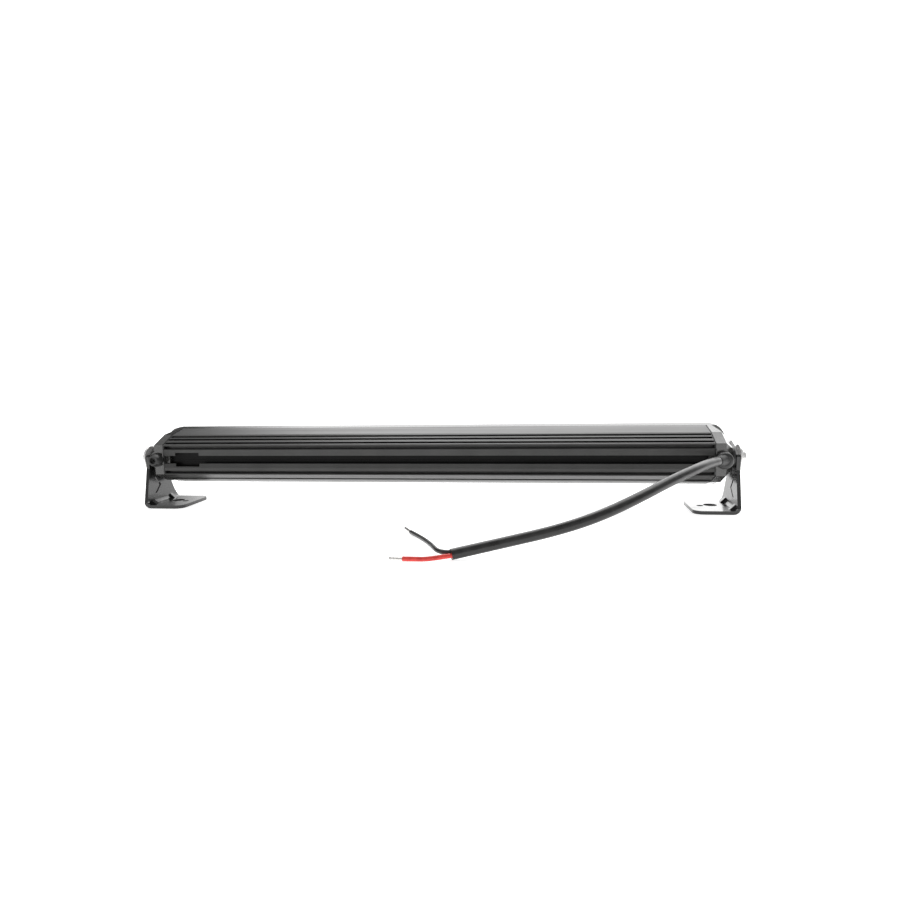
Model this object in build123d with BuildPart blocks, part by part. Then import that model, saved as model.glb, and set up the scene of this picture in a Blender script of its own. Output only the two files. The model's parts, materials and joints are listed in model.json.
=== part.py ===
from build123d import *
import math
import os

# LED light bar for trucks and trailers.  Millimetres, +Z up, X along the bar.
# The lens faces -Y and the heat-sink side, with the vent and the cable, faces +Y.
# The origin is on the mounting surface, under the middle of the lamp and its brackets.

os.makedirs("parts", exist_ok=True)

# ---------------------------------------------------------------- driving dimensions
rear_face = 20.75            # Y of the flat rear face of the heat sink
axis_height = 45.2           # Z of the lamp's centre line above the mounting surface
housing_half = 241.0         # half length of the extruded housing
cap_flange_half = 250.0      # where the end caps' straight walls end
cap_face_half = 257.0        # outer faces of the end caps

front_joint = 36.5           # depth, from the rear face, of the housing's front edge
shoulder_depth = 17.4        # depth of the edge between the sloped fins and the top
rear_half = 13.5             # half height of the flat rear block
shoulder_half = 21.2
front_half = 25.6

web_rear = 20.0              # the web that carries the LEDs
web_front = 25.0
cavity_half = 20.3           # half height of the front cavity

plate_inner = 259.5          # inner faces of the bracket plates
plate_thickness = 3.0
foot_end = 225.5             # inner ends of the feet
foot_rear = -1.5             # depth of the foot's rear edge
foot_front = 50.5
bend_radius = 6.0            # outside radius of the bracket's bend

pivot_depth = 15.5
pivot_radius = 4.0           # M8 pivot bolts
running_gap = 0.05

port_half = 247.5            # X of the vent and of the cable gland

led_count = 18
led_pitch = 26.0

cable_diameter = 7.4
core_diameter = 3.2


def at_depth(depth):
    """Y of a point that lies this far in front of the rear face."""
    return rear_face - depth


def side_plane(side, x):
    """A plane square to X on one side of the lamp, its normal pointing outwards."""
    return Plane(origin=(side * x, 0, axis_height), x_dir=(0, 1, 0), z_dir=(side, 0, 0))


def rear_plane(x, depth, height=axis_height):
    """A plane parallel to the rear face, its normal pointing backwards (+Y)."""
    return Plane(origin=(x, at_depth(depth), height), x_dir=(-1, 0, 0), z_dir=(0, 1, 0))


def save(part, name):
    part.label = name
    export_step(part, f"parts/{name}.step")


def body_outline():
    """Side view of the lamp: flat rear, sloped shoulders, wedge that widens to the front."""
    return [
        (at_depth(0), rear_half),
        (at_depth(shoulder_depth), shoulder_half),
        (at_depth(front_joint), front_half),
        (at_depth(front_joint), -front_half),
        (at_depth(shoulder_depth), -shoulder_half),
        (at_depth(0), -rear_half),
    ]


# ---------------------------------------------------------------- heat-sink housing
grooves = [                  # (lower height, upper height, depth of the bottom)
    (9.6, 12.4, 6.0),
    (14.1, 15.4, 18.0),
    (16.7, 18.05, 18.0),
    (18.85, 20.3, 18.6),
    (-12.4, -10.0, 6.0),
    (-19.5, -18.0, 18.6),
]
lit_edges = [                # (height, drop, set-back) of the bevels on the upward edges
    (9.6, 0.6, 0.6),
    (-3.6, 4.0, 0.6),
    (-12.4, 0.6, 0.6),
]
slot_ribs = [-1.3, -3.1]     # heights of the ribs on the slot's floor
rib_width = 0.7
rib_height = 0.7
slot_opening = 7.2           # T-slot along the rear face
slot_lip = 2.2
slot_inner = 12.6
slot_depth = 7.0
notch_start = housing_half - 34.0    # loading notch in the slot's lips, on the +X end
notch_length = 23.0
notch_opening = 12.6
chamber_rear = 10.0          # closed chamber for the driver
chamber_half = 8.0
screw_ports = [(14.0, 10.6), (22.5, 17.0)]
port_bore = 1.3
pilot_radius = 1.25
board_screw_half = 10.0      # height of the board's screws above and below the row of LEDs
board_screw_points = [(step * 4 * led_pitch, sign * board_screw_half)
                      for step in (-2, -1, 0, 1, 2) for sign in (1, -1)]

with BuildPart() as heatsink_housing:
    with BuildSketch(side_plane(1, -housing_half)):
        with BuildLine():
            Polyline(body_outline(), close=True)
        make_face()
        for low, high, bottom in grooves:
            with Locations((at_depth(bottom / 2 - 2), (low + high) / 2)):
                Rectangle(bottom + 4, high - low, mode=Mode.SUBTRACT)
        with Locations((at_depth(slot_lip / 2), 0)):
            Rectangle(slot_lip + 0.2, slot_opening, mode=Mode.SUBTRACT)
        with Locations((at_depth((slot_lip + slot_depth) / 2), 0)):
            Rectangle(slot_depth - slot_lip, slot_inner, mode=Mode.SUBTRACT)
        for height in slot_ribs:
            with Locations((at_depth(slot_depth - rib_height / 2), height)):
                Rectangle(rib_height, rib_width)
        for height, drop, set_back in lit_edges:
            with BuildLine():
                Polyline([
                    (at_depth(0), height - drop),
                    (at_depth(set_back), height + 0.1),
                    (at_depth(-1), height + 0.1),
                    (at_depth(-1), height - drop),
                ], close=True)
            make_face(mode=Mode.SUBTRACT)
        with Locations((at_depth((chamber_rear + web_rear) / 2), 0)):
            Rectangle(web_rear - chamber_rear, 2 * chamber_half, mode=Mode.SUBTRACT)
        with Locations((at_depth((web_front + front_joint) / 2 + 1), 0)):
            Rectangle(front_joint - web_front + 2, 2 * cavity_half, mode=Mode.SUBTRACT)
        for depth, height in screw_ports:
            with Locations((at_depth(depth), height), (at_depth(depth), -height)):
                Circle(port_bore, mode=Mode.SUBTRACT)
    extrude(amount=2 * housing_half)
    with BuildSketch(rear_plane(notch_start + notch_length / 2, slot_lip)):
        Rectangle(notch_length, notch_opening)
    extrude(amount=slot_lip + 1, mode=Mode.SUBTRACT)
    with BuildSketch(rear_plane(0, web_front)):
        with Locations(*board_screw_points):
            Circle(pilot_radius)
    extrude(amount=web_front - web_rear + 1, mode=Mode.SUBTRACT)
    # opening in the web for the wires between the driver and the LEDs
    with BuildSketch(rear_plane(-150, web_front + 1)):
        Rectangle(14, 6)
    extrude(amount=web_front - web_rear + 2, mode=Mode.SUBTRACT)
    # the lips' blocks are bodies of their own, flush with the core, so the slot stays open
    split(bisect_by=rear_plane(0, slot_depth - rib_height), keep=Keep.BOTH)
save(heatsink_housing.part, "heatsink_housing")

# ---------------------------------------------------------------- end caps
gasket_thickness = 1.0
cap_draft = 50               # slope of the bevelled ring round the outer face, degrees
pocket_outer = 247.0
gland_bore = 5.4
vent_bore = 4.1
seat_radius = 7.6
cap_screw_seat = 248.0
bezel_screw_height = 19.5
bezel_screw_half = 245.4
corner_sum = 271.7           # X + height on the caps' 45-degree corner faces
front_top = 27.3             # half height that the corner faces run up to
tongue_length = 4.0          # tongue that fills the end of the T-slot
tongue_half = 5.8
tongue_rear = 3.0
tongue_front = 6.1
joint_bevel = 0.5
side_names = {1: "left", -1: "right"}


def end_cap(side):
    bore = vent_bore if side > 0 else gland_bore
    with BuildPart() as cap:
        with BuildSketch(side_plane(side, housing_half + gasket_thickness)):
            with BuildLine():
                Polyline(body_outline(), close=True)
            make_face()
        extrude(amount=cap_flange_half - housing_half - gasket_thickness)
        with BuildSketch(side_plane(side, cap_flange_half)):
            with BuildLine():
                Polyline(body_outline(), close=True)
            make_face()
        extrude(amount=cap_face_half - cap_flange_half, taper=cap_draft)
        with BuildSketch(rear_plane(side * port_half, 12)):
            Circle(seat_radius)
        extrude(amount=12)
        # corner faces, seen from the front as 45-degree cuts
        for sign in (1, -1):
            with BuildSketch(rear_plane(0, front_joint + 1)):
                with BuildLine():
                    Polyline([
                        (-side * (corner_sum - front_top - 1), sign * (front_top + 1)),
                        (-side * (cap_face_half + 1), sign * (corner_sum - cap_face_half - 1)),
                        (-side * (cap_face_half + 1), sign * (front_top + 1)),
                    ], close=True)
                make_face()
            extrude(amount=front_joint + 2, mode=Mode.SUBTRACT)
        # the port's seat is cut level with the cap's inner face
        with BuildSketch(side_plane(side, housing_half + gasket_thickness)):
            with Locations((at_depth(10), 0)):
                Rectangle(40, 40)
        extrude(amount=-6, mode=Mode.SUBTRACT)
        # pocket behind the driver chamber
        with BuildSketch(side_plane(side, housing_half)):
            with Locations((at_depth((chamber_rear + web_rear) / 2), 0)):
                Rectangle(web_rear - chamber_rear, 2 * chamber_half)
        extrude(amount=pocket_outer - housing_half, mode=Mode.SUBTRACT)
        # port for the vent or the gland
        with BuildSketch(rear_plane(side * port_half, 11.0)):
            Circle(bore)
        extrude(amount=12, mode=Mode.SUBTRACT)
        # threaded hole for the pivot bolt
        with BuildSketch(side_plane(side, 248.5)):
            with Locations((at_depth(pivot_depth), 0)):
                Circle(pivot_radius)
        extrude(amount=10, mode=Mode.SUBTRACT)
        # screws that hold the cap to the housing
        for depth, height in screw_ports:
            with BuildSketch(side_plane(side, housing_half)):
                with Locations((at_depth(depth), height), (at_depth(depth), -height)):
                    Circle(1.6)
            extrude(amount=cap_screw_seat - housing_half + 1, mode=Mode.SUBTRACT)
            with BuildSketch(side_plane(side, cap_screw_seat)):
                with Locations((at_depth(depth), height), (at_depth(depth), -height)):
                    Circle(3.1)
            extrude(amount=12, mode=Mode.SUBTRACT)
        # blind holes for the bezel's screws
        with BuildSketch(rear_plane(side * bezel_screw_half, front_joint)):
            with Locations((0, bezel_screw_height), (0, -bezel_screw_height)):
                Circle(1.3)
        extrude(amount=8, mode=Mode.SUBTRACT)
        with BuildSketch(rear_plane(side * port_half, 0)):
            Circle(seat_radius + 1)
            Circle(bore, mode=Mode.SUBTRACT)
        extrude(amount=2, mode=Mode.SUBTRACT)
        # small bevel along the joint with the housing
        joint = housing_half + gasket_thickness
        with BuildSketch(Plane.XY.offset(axis_height - rear_half)):
            with BuildLine():
                Polyline([
                    (side * (joint - 1), at_depth(-1)),
                    (side * (joint - 1), at_depth(joint_bevel)),
                    (side * joint, at_depth(joint_bevel)),
                    (side * (joint + joint_bevel), at_depth(0)),
                    (side * (joint + joint_bevel), at_depth(-1)),
                ], close=True)
            make_face()
        extrude(amount=2 * rear_half, mode=Mode.SUBTRACT)
        with BuildSketch(side_plane(side, housing_half + gasket_thickness)):
            with Locations((at_depth((tongue_rear + tongue_front) / 2), 0)):
                Rectangle(tongue_front - tongue_rear, 2 * tongue_half)
        extrude(amount=-tongue_length - gasket_thickness)
    save(cap.part, f"end_cap_{side_names[side]}")


def end_cap_gasket(side):
    with BuildPart() as gasket:
        with BuildSketch(side_plane(side, housing_half)):
            with BuildLine():
                Polyline(body_outline(), close=True)
            make_face()
            offset(amount=-0.6, kind=Kind.INTERSECTION, mode=Mode.REPLACE)
            with Locations((at_depth((chamber_rear + web_rear) / 2), 0)):
                Rectangle(web_rear - chamber_rear, 2 * chamber_half, mode=Mode.SUBTRACT)
            with Locations((at_depth((tongue_rear + tongue_front) / 2), 0)):
                Rectangle(tongue_front - tongue_rear + 0.4, 2 * tongue_half + 0.4,
                          mode=Mode.SUBTRACT)
            for depth, height in screw_ports:
                with Locations((at_depth(depth), height), (at_depth(depth), -height)):
                    Circle(1.7, mode=Mode.SUBTRACT)
        extrude(amount=gasket_thickness)
    save(gasket.part, f"end_cap_gasket_{side_names[side]}")


def end_cap_screws(side):
    with BuildPart() as screws:
        for depth, height in screw_ports:
            places = [(at_depth(depth), height), (at_depth(depth), -height)]
            with BuildSketch(side_plane(side, cap_screw_seat)):
                with Locations(*places):
                    Circle(2.75)
            extrude(amount=2.4)
            with BuildSketch(side_plane(side, cap_screw_seat)):
                with Locations(*places):
                    Circle(port_bore)
            extrude(amount=-18)
            with BuildSketch(side_plane(side, cap_screw_seat + 2.4)):
                with Locations(*places):
                    RegularPolygon(1.35, 6)
            extrude(amount=-1.3, mode=Mode.SUBTRACT)
    save(screws.part, f"end_cap_screws_{side_names[side]}")


for side in (1, -1):
    end_cap(side)
    end_cap_gasket(side)
    end_cap_screws(side)

# ---------------------------------------------------------------- front frame and lens
bezel_depth = 8.0
bezel_half = 27.2            # half height of the frame's front edge
bezel_side = 257.5
bezel_corner = 14.0
bezel_edge = 1.0
window_half_length = 236.0
window_half_height = 21.0
rebate = 2.6                 # ledge that traps the lens
lens_thickness = 3.2
gasket_depth = 0.8
bezel_front = front_joint + bezel_depth

with BuildPart() as front_bezel:
    with BuildSketch(Plane.YZ.offset(-bezel_side)):
        with BuildLine():
            Polyline([
                (at_depth(front_joint), axis_height + front_half),
                (at_depth(bezel_front - bezel_edge), axis_height + bezel_half),
                (at_depth(bezel_front), axis_height + bezel_half - bezel_edge),
                (at_depth(bezel_front), axis_height - bezel_half + bezel_edge),
                (at_depth(bezel_front - bezel_edge), axis_height - bezel_half),
                (at_depth(front_joint), axis_height - front_half),
            ], close=True)
        make_face()
    extrude(amount=2 * bezel_side)
    with BuildSketch(rear_plane(0, bezel_front + 1)):
        RectangleRounded(2 * bezel_side, 2 * bezel_half, bezel_corner)
    extrude(amount=bezel_depth + 2, mode=Mode.INTERSECT)
    with BuildSketch(rear_plane(0, bezel_front + 1)):
        RectangleRounded(2 * window_half_length, 2 * window_half_height, 6)
    extrude(amount=bezel_depth + 2, mode=Mode.SUBTRACT)
    with BuildSketch(rear_plane(0, front_joint + gasket_depth + lens_thickness)):
        RectangleRounded(2 * (window_half_length + rebate), 2 * (window_half_height + rebate), 8)
    extrude(amount=bezel_depth, mode=Mode.SUBTRACT)
    with BuildSketch(rear_plane(0, bezel_front)):
        with Locations(*[(sx * bezel_screw_half, sz * bezel_screw_height)
                         for sx in (1, -1) for sz in (1, -1)]):
            Circle(1.6)
    extrude(amount=bezel_depth, mode=Mode.SUBTRACT)
    with BuildSketch(rear_plane(0, bezel_front)):
        with Locations(*[(sx * bezel_screw_half, sz * bezel_screw_height)
                         for sx in (1, -1) for sz in (1, -1)]):
            Circle(3.0)
    extrude(amount=2.4, mode=Mode.SUBTRACT)
save(front_bezel.part, "front_bezel")

with BuildPart() as bezel_screws:
    for sx in (1, -1):
        for sz in (1, -1):
            place = rear_plane(sx * bezel_screw_half, bezel_front - 0.2,
                               axis_height + sz * bezel_screw_height)
            with BuildSketch(place):
                Circle(2.75)
            extrude(amount=2.2)
            with BuildSketch(place.offset(2.2)):
                Circle(1.25)
            extrude(amount=12)
            with BuildSketch(place):
                RegularPolygon(1.35, 6)
            extrude(amount=1.2, mode=Mode.SUBTRACT)
save(bezel_screws.part, "bezel_screws")

lens_rear = front_joint + gasket_depth
with BuildPart() as front_lens:
    with BuildSketch(rear_plane(0, lens_rear + lens_thickness)):
        RectangleRounded(2 * (window_half_length + rebate - 0.2),
                         2 * (window_half_height + rebate - 0.2), 7.8)
    extrude(amount=lens_thickness)
    with BuildSketch(rear_plane(0, lens_rear + lens_thickness)):
        RectangleRounded(2 * window_half_length - 0.6, 2 * window_half_height - 0.6, 5.7)
    extrude(amount=-(bezel_front - lens_rear - lens_thickness - 0.6), taper=20)
save(front_lens.part, "front_lens")

with BuildPart() as lens_gasket:
    with BuildSketch(rear_plane(0, lens_rear)):
        RectangleRounded(2 * (window_half_length + rebate - 0.2),
                         2 * (window_half_height + rebate - 0.2), 7.8)
        RectangleRounded(2 * (window_half_length - 0.6), 2 * (window_half_height - 0.2), 5.5,
                         mode=Mode.SUBTRACT)
    extrude(amount=gasket_depth)
save(lens_gasket.part, "lens_gasket")

# ---------------------------------------------------------------- LEDs and reflectors
pad_thickness = 0.5
board_thickness = 1.6
board_half_height = 13.0
board_half_length = 236.0
led_size = 3.5
led_height = 0.9
reflector_rear = web_front + pad_thickness + board_thickness + 0.2
reflector_front = front_joint - 0.1
cup_front_radius = 12.2
cup_rear_radius = 3.6
led_places = [(-(led_count - 1) / 2 + i) * led_pitch for i in range(led_count)]


with BuildPart() as thermal_pad:
    with BuildSketch(rear_plane(0, web_front + pad_thickness)):
        Rectangle(2 * board_half_length, 2 * board_half_height)
        with Locations(*board_screw_points):
            Circle(1.7, mode=Mode.SUBTRACT)
        with Locations((150, 0)):
            Rectangle(14, 6, mode=Mode.SUBTRACT)
    extrude(amount=pad_thickness)
save(thermal_pad.part, "thermal_pad")

with BuildPart() as led_board:
    with BuildSketch(rear_plane(0, web_front + pad_thickness + board_thickness)):
        Rectangle(2 * board_half_length, 2 * board_half_height)
        with Locations(*board_screw_points):
            Circle(1.6, mode=Mode.SUBTRACT)
    extrude(amount=board_thickness)
save(led_board.part, "led_board")

with BuildPart() as led_emitters:
    with BuildSketch(rear_plane(0, web_front + pad_thickness + board_thickness + led_height)):
        with Locations(*[(x, 0) for x in led_places]):
            Rectangle(led_size, led_size)
    extrude(amount=led_height)
    fillet(led_emitters.edges().group_by(Axis.Y)[0], radius=0.35)
save(led_emitters.part, "led_emitters")

with BuildPart() as board_screws:
    with BuildSketch(rear_plane(0, web_front + pad_thickness + board_thickness)):
        with Locations(*board_screw_points):
            Circle(pilot_radius)
    extrude(amount=board_thickness + pad_thickness + 4)
    with BuildSketch(rear_plane(0, web_front + pad_thickness + board_thickness)):
        with Locations(*board_screw_points):
            Circle(2.4)
    extrude(amount=-1.4)
save(board_screws.part, "board_screws")

with BuildPart() as reflector_array:
    with BuildSketch(rear_plane(0, reflector_front)):
        Rectangle(2 * board_half_length, 2 * (cavity_half - 0.2))
    extrude(amount=reflector_front - reflector_rear)
    cup_depth = reflector_front - reflector_rear
    for x in led_places:
        with BuildSketch(rear_plane(x, reflector_front)):
            Circle(cup_front_radius)
        with BuildSketch(rear_plane(x, reflector_front - 0.55 * cup_depth)):
            Circle(cup_front_radius * 0.78)
        with BuildSketch(rear_plane(x, reflector_rear)):
            Circle(cup_rear_radius)
        loft(mode=Mode.SUBTRACT)
    with BuildSketch(rear_plane(0, reflector_rear + 1.6)):
        with Locations(*board_screw_points):
            Circle(2.8)
    extrude(amount=2, mode=Mode.SUBTRACT)
save(reflector_array.part, "reflector_array")

# ---------------------------------------------------------------- driver inside the chamber
driver_x = -150.0
driver_length = 110.0
driver_rear = 12.0
with BuildPart() as driver_board:
    with BuildSketch(rear_plane(driver_x, driver_rear + 1.6)):
        Rectangle(driver_length, 2 * chamber_half - 0.6)
    extrude(amount=1.6)
save(driver_board.part, "driver_board")

with BuildPart() as driver_components:
    with BuildSketch(rear_plane(driver_x, driver_rear + 1.6)):
        with Locations((-40, 0)):
            Rectangle(11, 11)
        with Locations((-22, 2)):
            Rectangle(8, 6)
        with Locations((-4, -2), (4, 3)):
            Rectangle(5, 4)
    extrude(amount=-4.2)
    with BuildSketch(rear_plane(driver_x, driver_rear + 1.6)):
        with Locations((22, 0), (34, 0), (46, 0)):
            Circle(4.0)
    extrude(amount=-5.6)
save(driver_components.part, "driver_components")

inner_wire_radius = 1.1
for name, height in (("inner_wire_red", 4.5), ("inner_wire_black", -4.5)):
    with BuildPart() as inner_wire:
        with BuildSketch(side_plane(-1, -driver_x + driver_length / 2 - 6)):
            with Locations((at_depth(driver_rear + 1.6 + inner_wire_radius), height)):
                Circle(inner_wire_radius)
        extrude(amount=pocket_outer - 1 + driver_x - driver_length / 2 + 6)
    save(inner_wire.part, name)

# ---------------------------------------------------------------- vent plug on the +X end
vent_ring = 1.0
vent_rear = 8.0
with BuildPart() as vent_plug:
    with BuildSketch(rear_plane(port_half, 8)):
        Circle(vent_bore)
    extrude(amount=8 + vent_ring)
    with BuildSketch(rear_plane(port_half, -vent_ring)):
        Circle(6.3)
    with BuildSketch(rear_plane(port_half, -3.4)):
        Circle(6.1)
    with BuildSketch(rear_plane(port_half, -vent_rear)):
        Circle(4.3)
    loft()
    with BuildSketch(rear_plane(port_half, -vent_rear)):
        Circle(2.9)
    extrude(amount=-2.6, mode=Mode.SUBTRACT)
    with BuildSketch(rear_plane(port_half, -vent_rear + 2.6)):
        RegularPolygon(1.8, 6)
    extrude(amount=-1.8, mode=Mode.SUBTRACT)
save(vent_plug.part, "vent_plug")

with BuildPart() as vent_o_ring:
    with BuildSketch(rear_plane(port_half, 0)):
        Circle(5.9)
        Circle(vent_bore + 0.1, mode=Mode.SUBTRACT)
    extrude(amount=vent_ring)
save(vent_o_ring.part, "vent_o_ring")

# ---------------------------------------------------------------- cable gland on the -X end
gland_flange = 2.5
nut_rear = 8.8
nut_radius = 7.0
cable_tail_radius = 3.4
with BuildPart() as cable_gland:
    with BuildSketch(rear_plane(-port_half, 9)):
        Circle(gland_bore)
        Circle(cable_tail_radius + 0.1, mode=Mode.SUBTRACT)
    extrude(amount=9)
    with BuildSketch(rear_plane(-port_half, 0)):
        RegularPolygon(7.6, 6, rotation=30)
        Circle(cable_tail_radius + 0.1, mode=Mode.SUBTRACT)
    extrude(amount=gland_flange)
save(cable_gland.part, "cable_gland")

with BuildPart() as gland_nut:
    with BuildSketch(rear_plane(-port_half, -gland_flange)):
        Circle(nut_radius)
    extrude(amount=nut_rear - gland_flange)
    fillet(gland_nut.faces().sort_by(Axis.Y)[-1].edges(), radius=3.2)
    with BuildSketch(rear_plane(-port_half, -gland_flange)):
        Circle(5.4)
    extrude(amount=4, mode=Mode.SUBTRACT)
    with BuildSketch(rear_plane(-port_half, 0)):
        Circle(cable_tail_radius + 0.1)
    extrude(amount=12, mode=Mode.SUBTRACT)
save(gland_nut.part, "gland_nut")

with BuildPart() as gland_seal:
    with BuildSketch(rear_plane(-port_half, -gland_flange)):
        Circle(5.4)
        Circle(cable_tail_radius, mode=Mode.SUBTRACT)
    extrude(amount=4)
save(gland_seal.part, "gland_seal")

with BuildPart() as cable_tail:
    with BuildSketch(rear_plane(-port_half, 9.5)):
        Circle(cable_tail_radius)
    extrude(amount=9.5 + nut_rear)
save(cable_tail.part, "cable_tail")

# ---------------------------------------------------------------- supply cable
cable_route = [
    (-239.0, 39.5, 46.3),
    (-229.5, 54.5, 46.9),
    (-214.5, 78.0, 45.6),
    (-192.5, 106.0, 41.5),
    (-166.5, 134.0, 34.0),
    (-138.0, 151.0, 24.0),
    (-110.5, 154.5, 15.5),
    (-80.0, 159.5, 9.0),
    (-45.5, 174.0, 3.9),
]
black_route = [
    (-47.6, 171.95, 4.7),
    (-41.4, 173.4, 5.0),
    (-36.3, 170.2, 5.1),
    (-33.2, 163.8, 5.0),
    (-29.6, 154.5, 4.6),
    (-23.5, 140.5, 3.9),
    (-15.5, 124.5, 3.0),
    (-5.8, 107.1, 2.0),
]
red_route = [
    (-48.2, 174.6, 3.6),
    (-42.0, 177.0, 3.4),
    (-36.0, 179.2, 2.8),
    (-29.5, 179.9, 2.1),
    (-22.5, 178.9, 1.85),
    (-14.8, 178.8, 1.8),
]


def bend_radii(points):
    """As large an arc at each corner as its two runs leave room for."""
    radii = []
    for before, corner, after in zip(points, points[1:], points[2:]):
        arriving = Vector(*corner) - Vector(*before)
        leaving = Vector(*after) - Vector(*corner)
        half_turn = math.radians(arriving.get_angle(leaving)) / 2
        radii.append(0.45 * min(arriving.length, leaving.length) / math.tan(half_turn))
    return radii


def free_cord(points, diameter, name):
    radii = bend_radii(points)
    with BuildPart() as cord:
        with BuildLine() as path:
            FilletPolyline(*points, radius=radii)
        with BuildSketch(path.line ^ 0):
            Circle(diameter / 2)
        sweep()
    length = path.wire().length
    wanted = math.pi * diameter ** 2 / 4 * length
    print(name, "length", round(length, 1), "radii", [round(r, 1) for r in radii],
          "volume ratio", round(cord.part.volume / wanted, 4))
    save(cord.part, name)


free_cord(cable_route, cable_diameter, "cable_jacket")
free_cord(black_route, core_diameter, "core_black")
free_cord(red_route, core_diameter, "core_red")


def tinned_end(points, length, name):
    """Twisted and tinned strands that stick out of a core in line with its last run."""
    heading = (Vector(*points[-1]) - Vector(*points[-2])).normalized()
    level = Vector(heading.X, heading.Y, 0).normalized()
    with BuildPart() as strands:
        with BuildSketch(Plane(origin=points[-1], z_dir=level)):
            Circle(1.15)
        extrude(amount=length)
        fillet(strands.edges().filter_by(GeomType.CIRCLE), radius=0.3)
    save(strands.part, name)


tinned_end(black_route, 14.0, "tinned_end_black")
tinned_end(red_route, 9.0, "tinned_end_red")

boot_end = Vector(*cable_route[0])
boot_heading = (Vector(*cable_route[1]) - boot_end).normalized()
boot_back = 22.0             # how far the boot's cone reaches back towards the gland
with BuildPart() as cable_boot:
    with BuildSketch(Plane(origin=boot_end, z_dir=boot_heading)):
        Circle(cable_diameter / 2 + 0.3)
    with BuildSketch(Plane(origin=boot_end - boot_heading * boot_back, z_dir=boot_heading)):
        Circle(cable_diameter / 2 + 1.3)
    loft()
    split(bisect_by=rear_plane(0, -nut_rear), keep=Keep.TOP)
save(cable_boot.part, "cable_boot")

# ---------------------------------------------------------------- brackets
foot_corner = 8.0
foot_hole_x = 244.0          # main M10 hole
foot_hole_depth = 25.5
foot_hole_radius = 5.5
screw_hole_x = 235.0         # smaller hole beside it
screw_hole_depth = 22.0
screw_hole_radius = 2.8
gusset_depths = (7.0, 39.0)
gusset_width = 4.0
gusset_reach = 5.4
gusset_rise = 5.0
bracket_top = 57.6


def plate_outline():
    """Side view of the upright plate, with the pivot's rounded head at its top."""
    return [
        (at_depth(foot_rear - 1.0), 0.0),
        (at_depth(foot_rear - 1.0), 3.0),
        (at_depth(foot_rear + 0.6), 6.0),
        (at_depth(5.6), 36.0),
        (at_depth(5.4), 46.8),
        (at_depth(7.0), 48.6),
        (at_depth(34.0), bracket_top),
        (at_depth(37.0), bracket_top - 2.0),
        (at_depth(36.5), 40.0),
        (at_depth(35.0), 29.5),
        (at_depth(41.0), 19.5),
        (at_depth(45.5), 11.0),
        (at_depth(foot_front + 1.0), 3.4),
        (at_depth(foot_front + 1.0), 0.0),
    ]


def chevron_outline():
    """Narrow V-shaped slot in the plate, its point towards the front."""
    half_width = 1.4
    ends = [(14.4, 26.8), (21.4, 19.0), (13.6, 12.0)]
    edge_a = [(at_depth(depth + half_width), z) for depth, z in ends]
    edge_b = [(at_depth(depth - half_width), z) for depth, z in ends]
    return edge_a + edge_b[::-1]


def bracket(side):
    outer = plate_inner + plate_thickness
    inner_bend = bend_radius - plate_thickness
    diagonal = 1 - math.sqrt(0.5)
    with BuildPart() as angle:
        # L section, bent from one strip
        with BuildSketch(Plane.XZ.offset(-at_depth(foot_rear))):
            with BuildLine():
                Line((side * foot_end, 0), (side * (outer - bend_radius), 0))
                ThreePointArc(
                    (side * (outer - bend_radius), 0),
                    (side * (outer - bend_radius * diagonal), bend_radius * diagonal),
                    (side * outer, bend_radius),
                )
                Polyline(
                    (side * outer, bend_radius),
                    (side * outer, bracket_top),
                    (side * plate_inner, bracket_top),
                    (side * plate_inner, bend_radius),
                )
                ThreePointArc(
                    (side * plate_inner, bend_radius),
                    (side * (plate_inner - inner_bend * diagonal),
                     plate_thickness + inner_bend * diagonal),
                    (side * (plate_inner - inner_bend), plate_thickness),
                )
                Polyline(
                    (side * (plate_inner - inner_bend), plate_thickness),
                    (side * foot_end, plate_thickness),
                    (side * foot_end, 0),
                )
            make_face()
        extrude(amount=foot_front - foot_rear)
        inner_corners = angle.edges().filter_by(Axis.Z).sort_by(Axis.X, reverse=side > 0)[-2:]
        fillet(inner_corners, radius=foot_corner)
        # two stamped gussets in the bend
        for depth in gusset_depths:
            with BuildSketch(Plane.XZ.offset(-at_depth(depth - gusset_width / 2))):
                with BuildLine():
                    Polyline([
                        (side * (plate_inner - gusset_reach), plate_thickness - 0.5),
                        (side * (plate_inner + 0.5), plate_thickness - 0.5),
                        (side * (plate_inner + 0.5), plate_thickness + gusset_rise),
                    ], close=True)
                make_face()
            extrude(amount=gusset_width)
        # side view of the plate and of the foot below it
        with BuildSketch(Plane.YZ.offset(-outer - 5)):
            with BuildLine():
                Polyline(plate_outline(), close=True)
            make_face()
            with BuildLine():
                Polyline(chevron_outline(), close=True)
            make_face(mode=Mode.SUBTRACT)
            with Locations((at_depth(pivot_depth), axis_height)):
                Circle(pivot_radius + running_gap, mode=Mode.SUBTRACT)
        extrude(amount=2 * outer + 10, mode=Mode.INTERSECT)
        # holes in the foot
        with BuildSketch(Plane.XY):
            with Locations((side * foot_hole_x, at_depth(foot_hole_depth))):
                Circle(foot_hole_radius)
            with Locations((side * screw_hole_x, at_depth(screw_hole_depth))):
                Circle(screw_hole_radius)
        extrude(amount=plate_thickness + 1, mode=Mode.SUBTRACT)
    save(angle.part, f"bracket_{side_names[side]}")


# ---------------------------------------------------------------- pivot hardware
washer_radius = 11.2
washer_thickness = 1.8
spacer_radius = 9.0
face_gap = 0.1
head_radius = 6.6
head_height = 4.2
bolt_end = 249.0


def pivot_ring(side, start, thickness, radius, name):
    with BuildPart() as ring:
        with BuildSketch(side_plane(side, start)):
            with Locations((at_depth(pivot_depth), 0)):
                Circle(radius)
                Circle(pivot_radius + 0.2, mode=Mode.SUBTRACT)
        extrude(amount=thickness)
        chamfer(ring.edges().filter_by(GeomType.CIRCLE).group_by(Edge.length.fget)[-1], 0.25)
    save(ring.part, name)


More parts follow.
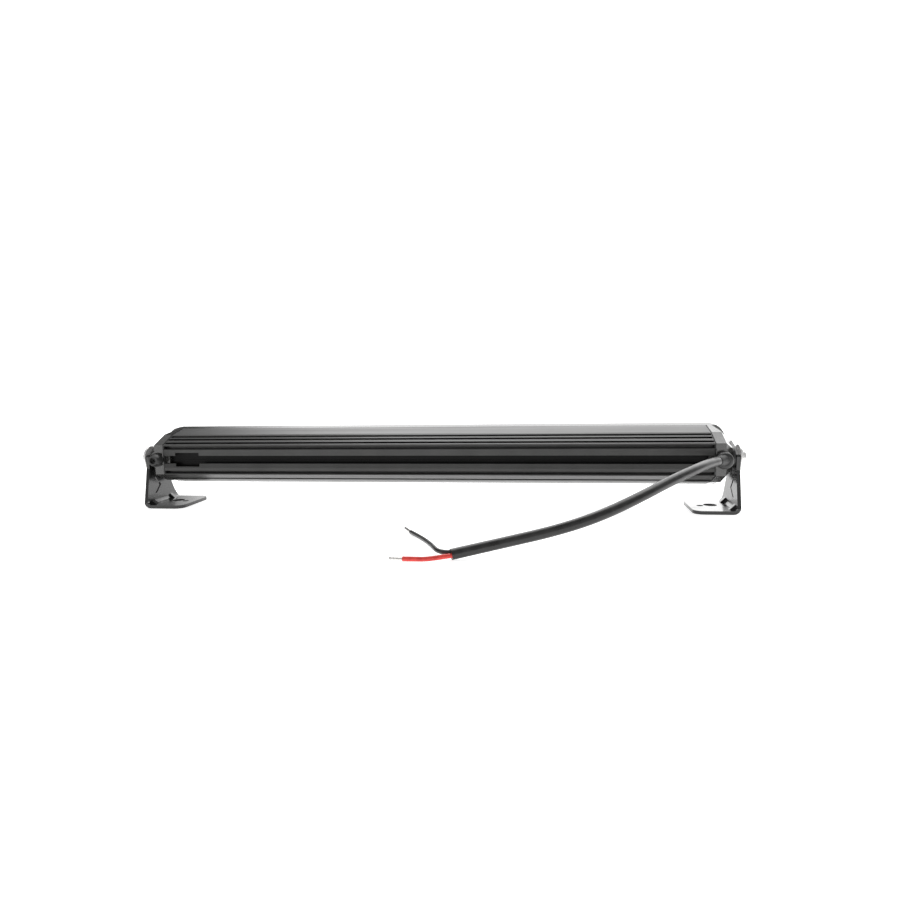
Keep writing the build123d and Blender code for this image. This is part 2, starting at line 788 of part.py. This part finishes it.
def pivot_bolt(side):
    head_seat = plate_inner + plate_thickness + face_gap + washer_thickness
    with BuildPart() as bolt:
        with BuildSketch(side_plane(side, head_seat)):
            with Locations((at_depth(pivot_depth), 0)):
                Circle(pivot_radius)
        extrude(amount=bolt_end - head_seat)
        with BuildSketch(side_plane(side, head_seat)):
            with Locations((at_depth(pivot_depth), 0)):
                Circle(head_radius)
        extrude(amount=head_height)
        crown = bolt.faces().sort_by(Axis.X, reverse=side < 0)[-1]
        fillet(crown.edges(), radius=2.2)
        with BuildSketch(side_plane(side, head_seat + head_height)):
            with Locations((at_depth(pivot_depth), 0)):
                RegularPolygon(2.9, 6)
        extrude(amount=-2.4, mode=Mode.SUBTRACT)
    save(bolt.part, f"pivot_bolt_{side_names[side]}")


for side in (1, -1):
    outer_face = plate_inner + plate_thickness + face_gap
    bracket(side)
    pivot_bolt(side)
    pivot_ring(side, cap_face_half, plate_inner - face_gap - cap_face_half, spacer_radius,
               f"pivot_spacer_{side_names[side]}")
    pivot_ring(side, outer_face, washer_thickness, washer_radius,
               f"pivot_washer_{side_names[side]}")
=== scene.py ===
import json
import math

import bpy
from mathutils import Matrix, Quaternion, Vector


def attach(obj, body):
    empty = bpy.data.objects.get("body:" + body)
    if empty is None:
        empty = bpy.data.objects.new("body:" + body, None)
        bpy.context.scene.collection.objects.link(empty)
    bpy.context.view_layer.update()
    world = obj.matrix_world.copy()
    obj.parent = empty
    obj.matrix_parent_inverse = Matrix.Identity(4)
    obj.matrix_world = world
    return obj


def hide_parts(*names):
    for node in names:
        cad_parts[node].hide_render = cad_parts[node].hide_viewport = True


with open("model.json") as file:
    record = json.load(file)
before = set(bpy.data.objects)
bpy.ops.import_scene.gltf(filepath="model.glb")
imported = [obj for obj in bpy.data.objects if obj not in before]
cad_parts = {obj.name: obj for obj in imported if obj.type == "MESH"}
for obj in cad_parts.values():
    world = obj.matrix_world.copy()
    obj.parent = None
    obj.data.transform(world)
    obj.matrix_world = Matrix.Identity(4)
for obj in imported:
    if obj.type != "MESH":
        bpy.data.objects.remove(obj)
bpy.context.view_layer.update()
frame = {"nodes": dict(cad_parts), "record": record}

nodes = frame["nodes"]
MM = 0.001

# ------------------------------------------------------------------ camera
CAMERA_PLACE = (-0.1076, 0.5934, 0.1190)
CAMERA_HEADING = -8.34       # degrees that the view turns off the bar's square rear view
CAMERA_TILT = 6.44           # degrees below the horizon
CAMERA_ROLL = -1.06
CAMERA_LENS = 27.16


def make_camera():
    data = bpy.data.cameras.new("camera")
    data.sensor_width = 36
    data.lens = CAMERA_LENS
    data.clip_start = 0.01
    data.clip_end = 50
    camera = bpy.data.objects.new("camera", data)
    bpy.context.scene.collection.objects.link(camera)
    heading, tilt = math.radians(CAMERA_HEADING), math.radians(CAMERA_TILT)
    forward = Vector((
        -math.sin(heading) * math.cos(tilt),
        -math.cos(heading) * math.cos(tilt),
        -math.sin(tilt),
    ))
    camera.rotation_mode = "QUATERNION"
    roll = Quaternion((0, 0, 1), math.radians(CAMERA_ROLL))
    camera.rotation_quaternion = forward.to_track_quat("-Z", "Y") @ roll
    camera.location = CAMERA_PLACE
    bpy.context.scene.camera = camera


make_camera()


# ------------------------------------------------------------------ node helpers
class Shader:
    """A material made of nodes, with a Principled shader at its end."""

    def __init__(self, name):
        self.material = bpy.data.materials.new(name)
        self.material.use_nodes = True
        self.tree = self.material.node_tree
        self.bsdf = self.tree.nodes["Principled BSDF"]
        self.coords = None

    def add(self, kind, settings=None, **inputs):
        node = self.tree.nodes.new(kind)
        for key, value in (settings or {}).items():
            setattr(node, key, value)
        for key, value in inputs.items():
            socket = node.inputs[key.replace("_", " ")]
            if hasattr(value, "links"):
                self.tree.links.new(value, socket)
            else:
                socket.default_value = value
        return node

    def set(self, **inputs):
        for key, value in inputs.items():
            socket = self.bsdf.inputs[key.replace("_", " ")]
            if hasattr(value, "links"):
                self.tree.links.new(value, socket)
            else:
                socket.default_value = value

    def place(self, stretch=(1, 1, 1)):
        """Object coordinates in metres, scaled along each axis."""
        if self.coords is None:
            self.coords = self.add("ShaderNodeTexCoord").outputs["Object"]
        mapping = self.add("ShaderNodeMapping", Vector=self.coords, Scale=stretch)
        return mapping.outputs["Vector"]

    def noise(self, scale, detail=2.0, stretch=(1, 1, 1), roughness=0.5):
        node = self.add("ShaderNodeTexNoise", Vector=self.place(stretch), Scale=scale,
                        Detail=detail, Roughness=roughness)
        return node.outputs["Fac"]

    def map(self, value, low, high, from_low=0.3, from_high=0.7):
        node = self.add("ShaderNodeMapRange", Value=value)
        node.inputs["From Min"].default_value = from_low
        node.inputs["From Max"].default_value = from_high
        node.inputs["To Min"].default_value = low
        node.inputs["To Max"].default_value = high
        return node.outputs["Result"]

    def blend(self, value, dark, light):
        """A colour between two, following a value from 0 to 1."""
        ramp = self.add("ShaderNodeValToRGB", Fac=value)
        ramp.color_ramp.elements[0].position = 0.3
        ramp.color_ramp.elements[0].color = (*dark, 1)
        ramp.color_ramp.elements[1].position = 0.7
        ramp.color_ramp.elements[1].color = (*light, 1)
        return ramp.outputs["Color"]

    def ramp(self, value, start, end):
        """0 at one value, 1 at the other, with a soft step between them."""
        node = self.add("ShaderNodeMapRange", {"interpolation_type": "SMOOTHSTEP"}, Value=value)
        node.inputs["From Min"].default_value = start
        node.inputs["From Max"].default_value = end
        return node.outputs["Result"]

    def math(self, operation, first, second=0.0):
        node = self.add("ShaderNodeMath", {"operation": operation})
        for value, socket in ((first, node.inputs[0]), (second, node.inputs[1])):
            if hasattr(value, "links"):
                self.tree.links.new(value, socket)
            else:
                socket.default_value = value
        return node.outputs[0]

    def mix(self, value, first, second):
        """One colour over another, as much as the value says."""
        node = self.add("ShaderNodeMix", {"data_type": "RGBA"})
        pairs = ((value, node.inputs[0]), (first, node.inputs[6]), (second, node.inputs[7]))
        for source, socket in pairs:
            if hasattr(source, "links"):
                self.tree.links.new(source, socket)
            else:
                socket.default_value = source
        return node.outputs[2]

    def bump(self, height, depth, strength=1.0, under=None):
        node = self.add("ShaderNodeBump", Height=height, Strength=strength, Distance=depth)
        if under is not None:
            self.tree.links.new(under, node.inputs["Normal"])
        return node.outputs["Normal"]


# ------------------------------------------------------------------ materials
SLOT_HEIGHT = 0.0452         # middle of the T-slot above the floor
SLOT_HALF = 0.0064
SLOT_MOUTH = 0.0188          # Y just inside the lips
SLOT_FLOOR = 0.0172          # Y from which it is as dark as it gets
SLOT_EDGE = 0.001            # soft edge of the dark inside, in metres
# colour of the painted shade deep inside the T-slot
SLOT_SHADE_COLOUR = (0.006, 0.006, 0.006, 1)


def anodised_black():
    """Satin black anodising, with the fine drawn lines of an extrusion along the bar."""
    s = Shader("anodised_black")
    drawn = s.noise(1.0, 3, stretch=(3, 2600, 2600))
    broad = s.noise(1.0, 2, stretch=(5, 420, 420))
    cloud = s.noise(40, 3)
    paint = s.blend(cloud, (0.031, 0.031, 0.030), (0.045, 0.045, 0.0435))
    # painted shade: the inside of the T-slot is painted darker and its specular turned down,
    # standing in for the shade that falls in the recess
    parts = s.add("ShaderNodeSeparateXYZ", Vector=s.coords)
    off_centre = s.math("ABSOLUTE", s.math("SUBTRACT", parts.outputs["Z"], SLOT_HEIGHT))
    painted_slot_shade = s.math("MULTIPLY", s.ramp(parts.outputs["Y"], SLOT_MOUTH, SLOT_FLOOR),
                    s.ramp(off_centre, SLOT_HALF + SLOT_EDGE, SLOT_HALF))
    s.set(Base_Color=s.mix(painted_slot_shade, paint, SLOT_SHADE_COLOUR))
    # less specular where the painted slot shade lies
    s.set(Specular_IOR_Level=s.map(painted_slot_shade, 0.5, 0.12, 0, 1))
    s.set(Roughness=s.map(broad, 0.32, 0.44), IOR=1.5)
    fine = s.bump(drawn, 0.000012)
    s.set(Normal=s.bump(broad, 0.00002, under=fine))
    return s.material


def powder_black():
    """Fine-grained black powder coat on die-cast aluminium."""
    s = Shader("powder_black")
    grain = s.noise(2600, 2)
    cloud = s.noise(60, 2)
    s.set(Base_Color=s.blend(grain, (0.012, 0.012, 0.0115), (0.042, 0.041, 0.039)))
    s.set(Roughness=s.map(cloud, 0.13, 0.20), IOR=1.8)
    s.set(Normal=s.bump(grain, 0.00005, 0.8))
    return s.material


def gloss_black():
    """Gloss black paint on the brackets, with a slight orange peel and dust specks."""
    s = Shader("gloss_black")
    peel = s.noise(420, 2)
    cloud = s.noise(70, 3)
    s.set(Base_Color=s.blend(cloud, (0.012, 0.012, 0.012), (0.022, 0.022, 0.022)))
    s.set(Roughness=s.map(cloud, 0.13, 0.22), IOR=1.6)
    s.set(Normal=s.bump(peel, 0.00002, 0.7))
    return s.material


def stainless():
    """Bright stainless steel with a satin haze and turning marks."""
    s = Shader("stainless")
    scratch = s.noise(1.0, 3, stretch=(900, 2600, 2600))
    cloud = s.noise(300, 2)
    s.set(Base_Color=s.blend(cloud, (0.84, 0.835, 0.825), (0.95, 0.945, 0.935)))
    s.set(Metallic=0.6, Roughness=s.map(scratch, 0.22, 0.38))
    s.set(Normal=s.bump(scratch, 0.000006))
    return s.material


def soft_black(name, dark, light, rough, grain_scale, grain_depth):
    """Moulded black plastic or rubber."""
    s = Shader(name)
    grain = s.noise(grain_scale, 3)
    cloud = s.noise(90, 2)
    s.set(Base_Color=s.blend(cloud, (dark,) * 3, (light,) * 3))
    s.set(Roughness=s.map(grain, rough - 0.05, rough + 0.07))
    s.set(Normal=s.bump(grain, grain_depth))
    return s.material


def cable_black():
    """Semi-gloss PVC jacket, slightly uneven from its stranded cores and from handling."""
    s = Shader("cable_black")
    fine = s.noise(1800, 3)
    wave = s.noise(130, 2)
    s.set(Base_Color=s.blend(wave, (0.012, 0.012, 0.012), (0.024, 0.0235, 0.023)))
    s.set(Roughness=s.map(wave, 0.27, 0.38))
    s.set(Normal=s.bump(wave, 0.00012, 0.6, under=s.bump(fine, 0.000008)))
    return s.material


def insulation(name, dark, light, rough):
    """Thin PVC insulation, slightly wavy over its strands."""
    s = Shader(name)
    wave = s.noise(260, 2)
    fine = s.noise(2400, 2)
    s.set(Base_Color=s.blend(wave, dark, light))
    s.set(Roughness=s.map(fine, rough - 0.04, rough + 0.06))
    s.set(Normal=s.bump(wave, 0.00008, 0.6, under=s.bump(fine, 0.000006)))
    return s.material


def tinned():
    """Tinned copper strands."""
    s = Shader("tinned_copper")
    cloud = s.noise(700, 2)
    s.set(Base_Color=s.blend(cloud, (0.62, 0.61, 0.59), (0.80, 0.79, 0.77)))
    s.set(Metallic=1.0, Roughness=s.map(cloud, 0.2, 0.34))
    s.set(Normal=s.bump(cloud, 0.00001))
    return s.material


def clear_lens():
    """Clear polycarbonate with a faint haze."""
    s = Shader("clear_lens")
    haze = s.noise(25, 2)
    fine = s.noise(900, 2)
    s.set(Base_Color=(0.97, 0.98, 0.985, 1), Transmission_Weight=1.0, IOR=1.58)
    s.set(Roughness=s.map(haze, 0.015, 0.04))
    s.set(Normal=s.bump(fine, 0.000002, 0.4))
    return s.material


def reflector():
    """Smoked, metallised plastic with a slight orange peel."""
    s = Shader("reflector")
    cloud = s.noise(120, 2)
    peel = s.noise(500, 2)
    s.set(Base_Color=s.blend(cloud, (0.20, 0.205, 0.215), (0.27, 0.275, 0.285)))
    s.set(Metallic=1.0, Roughness=s.map(cloud, 0.07, 0.14))
    s.set(Normal=s.bump(peel, 0.00001, 0.6))
    return s.material


def plain_board(name, dark, light, rough):
    """Boards, pads and LEDs: a fine weave under a smooth coat."""
    s = Shader(name)
    weave = s.noise(1400, 2)
    s.set(Base_Color=s.blend(weave, dark, light))
    s.set(Roughness=s.map(weave, rough - 0.05, rough + 0.08))
    s.set(Normal=s.bump(weave, 0.00001))
    return s.material


MATERIALS = {
    "anodised_black": anodised_black(),
    "cap_black": powder_black(),
    "bracket_black": gloss_black(),
    "stainless": stainless(),
    "black_rubber": soft_black("black_rubber", 0.016, 0.026, 0.55, 1500, 0.00002),
    "black_nylon": soft_black("black_nylon", 0.018, 0.030, 0.32, 2200, 0.000015),
    "component_black": soft_black("component_black", 0.02, 0.035, 0.4, 1800, 0.00001),
    "cable_black": cable_black(),
    "black_insulation": insulation("black_insulation", (0.016,) * 3, (0.028,) * 3, 0.3),
    "red_insulation": insulation("red_insulation", (0.62, 0.035, 0.03), (0.80, 0.07, 0.055),
                                 0.3),
    "tinned_copper": tinned(),
    "clear_lens": clear_lens(),
    "reflector": reflector(),
    "board_white": plain_board("board_white", (0.78, 0.78, 0.75), (0.86, 0.86, 0.84), 0.4),
    "board_green": plain_board("board_green", (0.02, 0.16, 0.06), (0.03, 0.24, 0.09), 0.35),
    "pad_grey": plain_board("pad_grey", (0.36, 0.37, 0.39), (0.46, 0.47, 0.49), 0.7),
    "led_yellow": plain_board("led_yellow", (0.80, 0.62, 0.08), (0.90, 0.76, 0.18), 0.25),
}


def dress_nodes():
    """Every CAD node gets the material of its slot in the record."""
    for part in frame["record"]["subparts"]:
        mesh = nodes[part["node"]].data
        mesh.materials.clear()
        mesh.materials.append(MATERIALS[part["material_slot"]])


dress_nodes()

# ------------------------------------------------------------------ supply cable
CABLE_ROUTE = [
    (-239.0, 39.5, 46.3),
    (-229.5, 54.5, 46.9),
    (-214.5, 78.0, 45.6),
    (-192.5, 106.0, 41.5),
    (-166.5, 134.0, 34.0),
    (-138.0, 151.0, 24.0),
    (-110.5, 154.5, 15.5),
    (-80.0, 159.5, 9.0),
    (-45.5, 174.0, 3.9),
]
BLACK_ROUTE = [
    (-47.6, 171.95, 4.7),
    (-41.4, 173.4, 5.0),
    (-36.3, 170.2, 5.1),
    (-33.2, 163.8, 5.0),
    (-29.6, 154.5, 4.6),
    (-23.5, 140.5, 3.9),
    (-15.5, 124.5, 3.0),
    (-5.8, 107.1, 2.0),
]
RED_ROUTE = [
    (-48.2, 174.6, 3.6),
    (-42.0, 177.0, 3.4),
    (-36.0, 179.2, 2.8),
    (-29.5, 179.9, 2.1),
    (-22.5, 178.9, 1.85),
    (-14.8, 178.8, 1.8),
]
CABLE_DIAMETER = 0.0074
CORE_DIAMETER = 0.0032


def route_curve(name, route, diameter, material):
    """A tube round a smooth spline that has the route's points as its control points."""
    curve = bpy.data.curves.new(name, "CURVE")
    curve.dimensions = "3D"
    curve.bevel_depth = diameter / 2
    curve.bevel_resolution = 8
    curve.resolution_u = 16
    curve.use_fill_caps = True
    spline = curve.splines.new("NURBS")
    spline.points.add(len(route) - 1)
    for point, place in zip(spline.points, route):
        point.co = (place[0] * MM, place[1] * MM, place[2] * MM, 1)
    spline.order_u = 3
    spline.use_endpoint_u = True
    curve.materials.append(material)
    piece = bpy.data.objects.new(name, curve)
    bpy.context.scene.collection.objects.link(piece)
    return piece


# (name, route, diameter, slot, CAD node replaced, length, stiffness, CAD piece that goes with it)
CORDS = [
    ("supply_cable", CABLE_ROUTE, CABLE_DIAMETER, "cable_black", "cable_jacket", 0.253,
     "medium", "cable_boot"),
    ("black_core", BLACK_ROUTE, CORE_DIAMETER, "black_insulation", "core_black", 0.082,
     "limp", "tinned_end_black"),
    ("red_core", RED_ROUTE, CORE_DIAMETER, "red_insulation", "core_red", 0.034,
     "limp", "tinned_end_red"),
]
for name, route, diameter, slot, replaced, length, stiffness, companion in CORDS:
    cord = route_curve(name, route, diameter, MATERIALS[slot])
    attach(cord, "lamp")
    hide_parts(replaced)


# ------------------------------------------------------------------ floor, light and world
FLOOR_HALF = 6.0
FLOOR_GLOW = 0.80


def make_stage():
    """A white light table: it glows a little, so shadows on it stay pale."""
    mesh = bpy.data.meshes.new("floor")
    corners = [(-1, -1), (1, -1), (1, 1), (-1, 1)]
    mesh.from_pydata([(x * FLOOR_HALF, y * FLOOR_HALF, 0) for x, y in corners],
                     [], [(0, 1, 2, 3)])
    floor = bpy.data.objects.new("floor", mesh)
    bpy.context.scene.collection.objects.link(floor)
    s = Shader("floor_paint")
    s.set(Base_Color=s.blend(s.noise(3, 2), (0.80, 0.80, 0.80), (0.83, 0.83, 0.83)))
    s.set(Roughness=0.9, Specular_IOR_Level=0.1)
    s.set(Emission_Color=(1, 1, 1, 1), Emission_Strength=FLOOR_GLOW)
    mesh.materials.append(s.material)


# the room's brightness at the horizon, by the angle in degrees from the lamp's front (-Y)
# towards its vent end (+X)
PANORAMA = [
    (-180, 0.65), (-150, 0.35), (-115, 0.30), (-54, 0.25), (-44, 2.3), (-20, 2.8), (23, 2.8),
    (29, 1.2), (32, 0.08), (80, 0.08), (95, 0.4), (115, 0.6), (150, 0.45), (180, 0.65),
]
HORIZON_BAND = (0.60, 0.80)  # sines of the elevations over which it fades to the light above
OVERHEAD = (1.1, 0.30)       # from above, over the lamp's front and over the camera
OVERHEAD_EDGE = (-0.25, 0.2) # over this stretch of Y the light above falls off
LIMIT = 4.0                  # brightness that the ramp's white stands for
PAPER = 1.1                  # brightness of the backdrop as the camera sees it


def make_world():
    """A studio: bright paper behind the object, a light above, darkness behind the camera."""
    world = bpy.data.worlds.new("studio")
    bpy.context.scene.world = world
    world.use_nodes = True
    tree = world.node_tree
    tree.nodes.clear()
    link = tree.links.new

    def add(kind, operation=None, **values):
        node = tree.nodes.new(kind)
        if operation:
            node.operation = operation
        for name, value in values.items():
            node.inputs[name.replace("_", " ")].default_value = value
        return node

    parts = add("ShaderNodeSeparateXYZ")
    link(add("ShaderNodeTexCoord").outputs["Generated"], parts.inputs[0])
    forwards = add("ShaderNodeMath", "MULTIPLY")
    link(parts.outputs["Y"], forwards.inputs[0])
    forwards.inputs[1].default_value = -1
    turn = add("ShaderNodeMath", "ARCTAN2")
    link(parts.outputs["X"], turn.inputs[0])
    link(forwards.outputs[0], turn.inputs[1])
    around = add("ShaderNodeMapRange", From_Min=-math.pi, From_Max=math.pi)
    link(turn.outputs[0], around.inputs["Value"])
    ring = add("ShaderNodeValToRGB")
    stops = ring.color_ramp.elements
    for index, (angle, brightness) in enumerate(PANORAMA):
        place = (angle + 180) / 360
        stop = stops[index] if index < 2 else stops.new(place)
        stop.position = place
        stop.color = (brightness / LIMIT,) * 3 + (1,)
    link(around.outputs["Result"], ring.inputs["Fac"])
    level = add("ShaderNodeMath", "MULTIPLY")
    link(ring.outputs["Color"], level.inputs[0])
    level.inputs[1].default_value = LIMIT
    rise = add("ShaderNodeMapRange", From_Min=HORIZON_BAND[0], From_Max=HORIZON_BAND[1],
               To_Max=1.0)
    rise.interpolation_type = "SMOOTHSTEP"
    link(parts.outputs["Z"], rise.inputs["Value"])
    height = add("ShaderNodeMix")
    link(rise.outputs["Result"], height.inputs["Factor"])
    link(level.outputs[0], height.inputs["A"])
    above = add("ShaderNodeMapRange", From_Min=OVERHEAD_EDGE[0], From_Max=OVERHEAD_EDGE[1],
                To_Min=OVERHEAD[0], To_Max=OVERHEAD[1])
    above.interpolation_type = "SMOOTHSTEP"
    link(parts.outputs["Y"], above.inputs["Value"])
    link(above.outputs["Result"], height.inputs["B"])
    room = add("ShaderNodeBackground", Color=(1, 1, 1, 1))
    link(height.outputs["Result"], room.inputs["Strength"])
    paper = add("ShaderNodeBackground", Color=(1, 1, 1, 1), Strength=PAPER)
    seen = add("ShaderNodeMixShader")
    link(add("ShaderNodeLightPath").outputs["Is Camera Ray"], seen.inputs["Fac"])
    link(room.outputs["Background"], seen.inputs[1])
    link(paper.outputs["Background"], seen.inputs[2])
    link(seen.outputs["Shader"], add("ShaderNodeOutputWorld").inputs["Surface"])


def make_light(name, place, target, size, power):
    data = bpy.data.lights.new(name, "AREA")
    data.shape = "RECTANGLE"
    data.size, data.size_y = size
    data.energy = power
    lamp = bpy.data.objects.new(name, data)
    bpy.context.scene.collection.objects.link(lamp)
    lamp.location = place
    aim = Vector(target) - Vector(place)
    lamp.rotation_mode = "QUATERNION"
    lamp.rotation_quaternion = aim.to_track_quat("-Z", "Y")


make_stage()
make_world()
make_light("overhead_softbox", (-0.2, -0.6, 1.4), (0, 0, 0.05), (1.6, 0.8), 10)
bpy.context.scene.view_settings.view_transform = "Standard"
